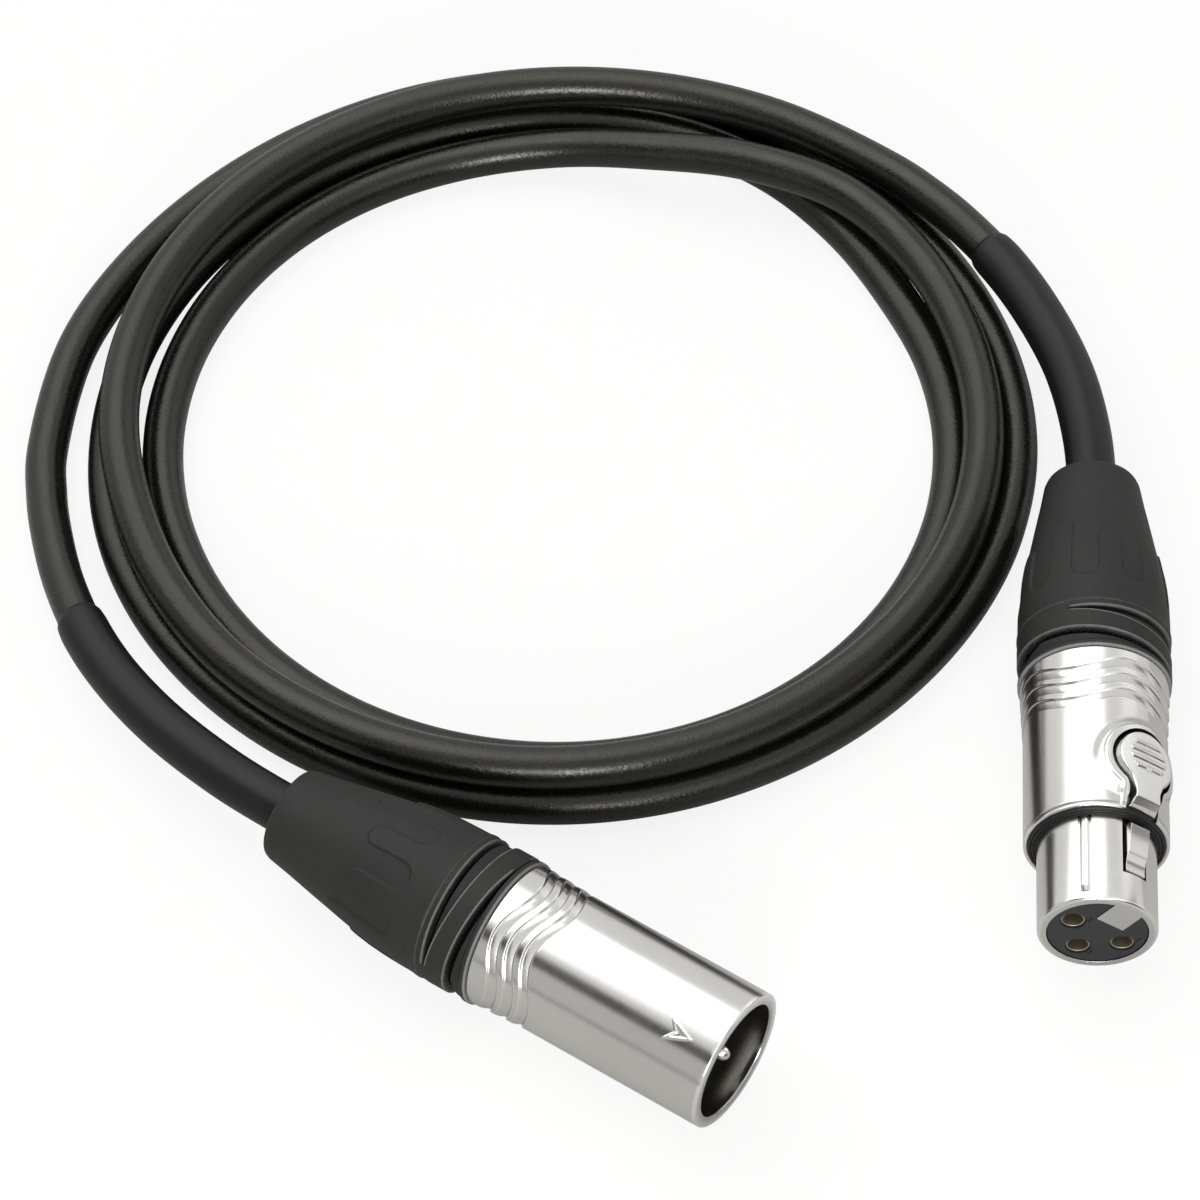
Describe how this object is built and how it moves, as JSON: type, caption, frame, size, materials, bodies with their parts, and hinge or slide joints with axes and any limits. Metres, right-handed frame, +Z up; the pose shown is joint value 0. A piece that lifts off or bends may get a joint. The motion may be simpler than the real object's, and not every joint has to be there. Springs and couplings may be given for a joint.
{
  "type": "microphone cable",
  "caption": "Coiled balanced microphone cable with a male three-pin connector at one end and a latching female three-pole connector at the other.",
  "frame": {"origin": "midway between the two connectors' outer limits, on the table that the cable lies on", "axes": "+X out of the male connector's mouth along its axis, +Z up from the table, +Y to the left of the male connector"},
  "size_m": [0.188, 0.1583, 0.0212],
  "materials": {
    "jacket": "soft PVC jacket, fine grain, satin",
    "sleeve": "smooth heat-shrink sleeve, soft sheen",
    "boot": "moulded elastomer, fine matte grain",
    "black_plastic": "moulded, matte",
    "nickel": "satin nickel plate on die-cast metal",
    "insulator": "moulded, matte",
    "contact": "plated contact metal",
    "steel": "spring steel",
    "conductor_white": "smooth wire insulation",
    "conductor_red": "smooth wire insulation",
    "conductor_copper": "twisted bare screen wire"
  },
  "bodies": {
    "root": {"cable_coil": "jacket", "male_lead": "jacket", "male_sleeve": "sleeve", "male_boot": "boot", "male_bushing": "black_plastic", "male_ring": "black_plastic", "male_chuck": "black_plastic", "male_conductor_1": "conductor_copper", "male_conductor_2": "conductor_white", "male_conductor_3": "conductor_red", "male_insert": "insulator", "female_lead": "jacket", "female_sleeve": "sleeve", "female_boot": "boot", "female_bushing": "black_plastic", "female_ring": "black_plastic", "female_chuck": "black_plastic", "female_conductor_1": "conductor_copper", "female_conductor_2": "conductor_white", "female_conductor_3": "conductor_red", "female_insert": "insulator", "male_shell": "nickel", "male_pin_1": "contact", "female_socket_1": "contact", "male_pin_2": "contact", "female_socket_2": "contact", "male_pin_3": "contact", "female_socket_3": "contact", "female_barrel": "nickel", "female_nose": "nickel", "female_seal": "black_plastic", "female_ground_contact": "nickel", "female_latch_pin": "steel", "female_latch_spring": "steel"},
    "latch": {"female_latch": "nickel"}
  },
  "joints": [
    {"name": "latch_press", "type": "hinge", "parent": "root", "child": "latch", "pos_m": [0.03334, 0.02193, 0.01617], "axis": [0.7007, 0.4243, -0.5736], "range_deg": [0, 3], "stiffness_Nm_per_rad": 0.75, "springref_deg": -2.86, "deforming": ["female_latch_spring"]}
  ]
}
